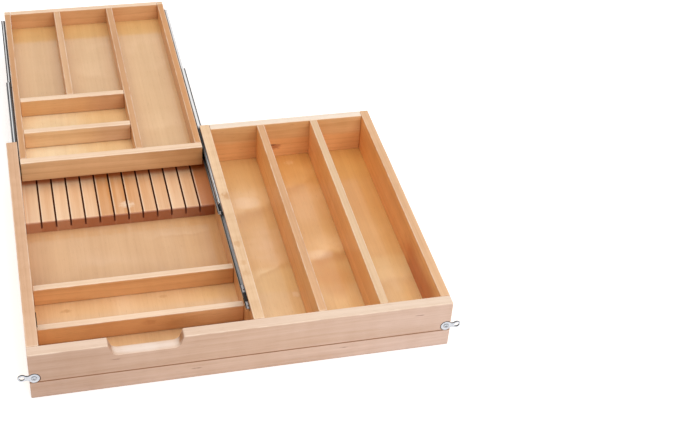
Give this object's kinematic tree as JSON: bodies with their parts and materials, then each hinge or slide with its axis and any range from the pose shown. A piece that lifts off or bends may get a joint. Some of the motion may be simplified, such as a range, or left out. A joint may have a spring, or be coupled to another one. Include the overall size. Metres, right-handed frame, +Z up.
{
  "type": "cutlery drawer organizer",
  "caption": "Wooden cutlery drawer with long open bays, low bins, a slotted knife block and a divided upper tray that slides back on ball-bearing rails.",
  "frame": {"origin": "on the ground under the middle of the front board: centred across the box, midway through the front board's thickness, at its lower edge", "axes": "+X across the drawer to the right as seen from the front, +Y from the front board towards the back, +Z up"},
  "size_m": [0.7212, 1.024, 0.093],
  "materials": {
    "maple": "pale hardwood, clear satin lacquer",
    "maple_ply": "hardwood-faced plywood, clear satin lacquer",
    "block_wood": "glued hardwood strips, clear satin lacquer",
    "rail_steel": "rolled steel, zinc plated",
    "cage_steel": "bright steel cage and balls",
    "stop_plastic": "black moulded plastic",
    "clip_zinc": "stamped steel, bright zinc plated",
    "screw_steel": "bright zinc plated"
  },
  "bodies": {
    "box": {"bottom_panel": "maple_ply", "centre_wall": "maple", "cross_divider_front": "maple", "cross_divider_rear": "maple", "front_board": "maple", "knife_block": "block_wood", "left_back_board": "maple", "left_cabinet_rail": "rail_steel", "left_clip_screw": "screw_steel", "left_rail_stop": "stop_plastic", "left_wall": "maple", "right_back_board": "maple", "right_bay_divider_1": "maple", "right_bay_divider_2": "maple", "right_cabinet_rail": "rail_steel", "right_clip_screw": "screw_steel", "right_rail_stop": "stop_plastic", "right_wall": "maple"},
    "tray": {"left_tray_rail": "rail_steel", "right_tray_rail": "rail_steel", "tray_back": "maple", "tray_cross_divider_front": "maple", "tray_cross_divider_rear": "maple", "tray_floor": "maple_ply", "tray_front": "maple", "tray_left_side": "maple", "tray_long_divider": "maple", "tray_right_side": "maple", "tray_short_divider": "maple"},
    "left_middle": {"left_middle_rail": "rail_steel"},
    "left_outer_cage": {"left_outer_ball_cage": "cage_steel"},
    "left_inner_cage": {"left_inner_ball_cage": "cage_steel"},
    "left_clip_body": {"left_clip": "clip_zinc"},
    "right_middle": {"right_middle_rail": "rail_steel"},
    "right_outer_cage": {"right_outer_ball_cage": "cage_steel"},
    "right_inner_cage": {"right_inner_ball_cage": "cage_steel"},
    "right_clip_body": {"right_clip": "clip_zinc"}
  },
  "joints": [
    {"name": "tray_slide", "type": "slide", "parent": "box", "child": "tray", "axis": [0, 1, 0], "range_m": [-0.4675, 0]},
    {"name": "left_middle_slide", "type": "slide", "parent": "box", "child": "left_middle", "axis": [0, 1, 0], "range_m": [-0.2201, 0.0001]},
    {"name": "left_outer_cage_slide", "type": "slide", "parent": "box", "child": "left_outer_cage", "axis": [0, 1, 0], "range_m": [-0.1101, 0.0001]},
    {"name": "left_inner_cage_slide", "type": "slide", "parent": "box", "child": "left_inner_cage", "axis": [0, 1, 0], "range_m": [-0.34385, 0.0001]},
    {"name": "right_middle_slide", "type": "slide", "parent": "box", "child": "right_middle", "axis": [0, 1, 0], "range_m": [-0.2201, 0.0001]},
    {"name": "right_outer_cage_slide", "type": "slide", "parent": "box", "child": "right_outer_cage", "axis": [0, 1, 0], "range_m": [-0.1101, 0.0001]},
    {"name": "right_inner_cage_slide", "type": "slide", "parent": "box", "child": "right_inner_cage", "axis": [0, 1, 0], "range_m": [-0.34385, 0.0001]},
    {"name": "left_clip_swivel", "type": "hinge", "parent": "box", "child": "left_clip_body", "pos_m": [-0.3355, -0.00875, 0.043], "axis": [0, 1, 0], "range_deg": [-25, 11]},
    {"name": "right_clip_swivel", "type": "hinge", "parent": "box", "child": "right_clip_body", "pos_m": [0.3355, -0.00875, 0.043], "axis": [0, 1, 0], "range_deg": [-18, 18]}
  ],
  "couplings": [
    {"joint": "left_middle_slide", "follows": "tray_slide", "ratio": 0.47059},
    {"joint": "left_outer_cage_slide", "follows": "tray_slide", "ratio": 0.23529},
    {"joint": "left_inner_cage_slide", "follows": "tray_slide", "ratio": 0.73529},
    {"joint": "right_middle_slide", "follows": "tray_slide", "ratio": 0.47059},
    {"joint": "right_outer_cage_slide", "follows": "tray_slide", "ratio": 0.23529},
    {"joint": "right_inner_cage_slide", "follows": "tray_slide", "ratio": 0.73529}
  ]
}
